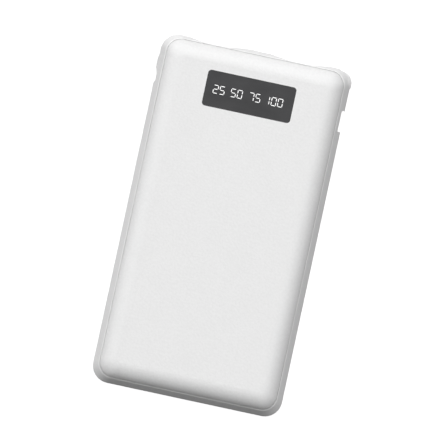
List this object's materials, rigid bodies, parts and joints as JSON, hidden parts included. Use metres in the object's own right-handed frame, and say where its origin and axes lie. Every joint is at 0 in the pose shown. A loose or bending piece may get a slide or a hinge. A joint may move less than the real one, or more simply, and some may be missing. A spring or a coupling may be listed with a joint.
{
  "type": "power bank",
  "caption": "Slim pocket battery pack with crowned covers on a wider band, a display window with charge read-outs, output sockets, an input socket and a side button.",
  "frame": {"origin": "middle of the rear face, where the pack rests", "axes": "+Z out of the front cover, +Y towards the display end, +X the right side seen from the front"},
  "size_m": [0.0728, 0.1326, 0.016],
  "materials": {
    "cover_white": "fine moulded grain, satin",
    "frame_white": "smooth satin moulding",
    "button_white": "smooth satin moulding",
    "window_dark": "tinted acrylic, polished",
    "digit_white": "milky light guide, lit",
    "adhesive_black": "double-sided foam tape",
    "housing_white": "moulded reflector housing",
    "pin_gold": "gold-plated",
    "board_green": "solder mask over glass laminate",
    "screw_steel": "zinc-plated",
    "socket_steel": "nickel-plated folded sheet",
    "tongue_orange": "moulded insulator",
    "tongue_black": "moulded insulator",
    "switch_black": "moulded switch case",
    "coil_grey": "ferrite",
    "core_dark": "ferrite core",
    "chip_black": "epoxy package",
    "cap_tan": "multilayer ceramic",
    "cell_foil": "laminated pouch foil",
    "tape_white": "double-sided tape",
    "foam_black": "closed-cell foam",
    "tab_nickel": "nickel strip",
    "lead_red": "silicone insulation",
    "lead_black": "silicone insulation"
  },
  "bodies": {
    "housing": {"front_cover": "cover_white", "rear_cover": "cover_white", "mid_frame": "frame_white", "display_window": "window_dark", "window_adhesive": "adhesive_black", "digits_25": "digit_white", "digits_50": "digit_white", "digits_75": "digit_white", "digits_100": "digit_white", "display_housing": "housing_white", "display_pins": "pin_gold", "main_board": "board_green", "board_screws": "screw_steel", "boost_inductor": "coil_grey", "inductor_core": "core_dark", "charge_chip": "chip_black", "boost_chip": "chip_black", "capacitors": "cap_tan", "output_shell_left": "socket_steel", "output_tongue_left": "tongue_orange", "output_contacts_left": "pin_gold", "output_shell_right": "socket_steel", "output_tongue_right": "tongue_orange", "output_contacts_right": "pin_gold", "input_shell": "socket_steel", "input_tongue": "tongue_black", "switch_body": "switch_black", "cell_lower": "cell_foil", "cell_upper": "cell_foil", "cell_tape": "tape_white", "foam_rear": "foam_black", "foam_front": "foam_black", "cell_tabs": "tab_nickel", "protection_board": "board_green", "lead_negative": "lead_black", "lead_positive": "lead_red"},
    "button": {"power_button": "button_white"},
    "plunger": {"switch_plunger": "switch_black"}
  },
  "joints": [
    {"name": "button_press", "type": "slide", "parent": "housing", "child": "button", "axis": [1, 0, 0], "range_m": [0, 0.0003], "stiffness_N_per_m": 400},
    {"name": "plunger_press", "type": "slide", "parent": "housing", "child": "plunger", "axis": [1, 0, 0], "range_m": [0, 0.0003]}
  ],
  "couplings": [
    {"joint": "plunger_press", "follows": "button_press", "ratio": 1}
  ]
}
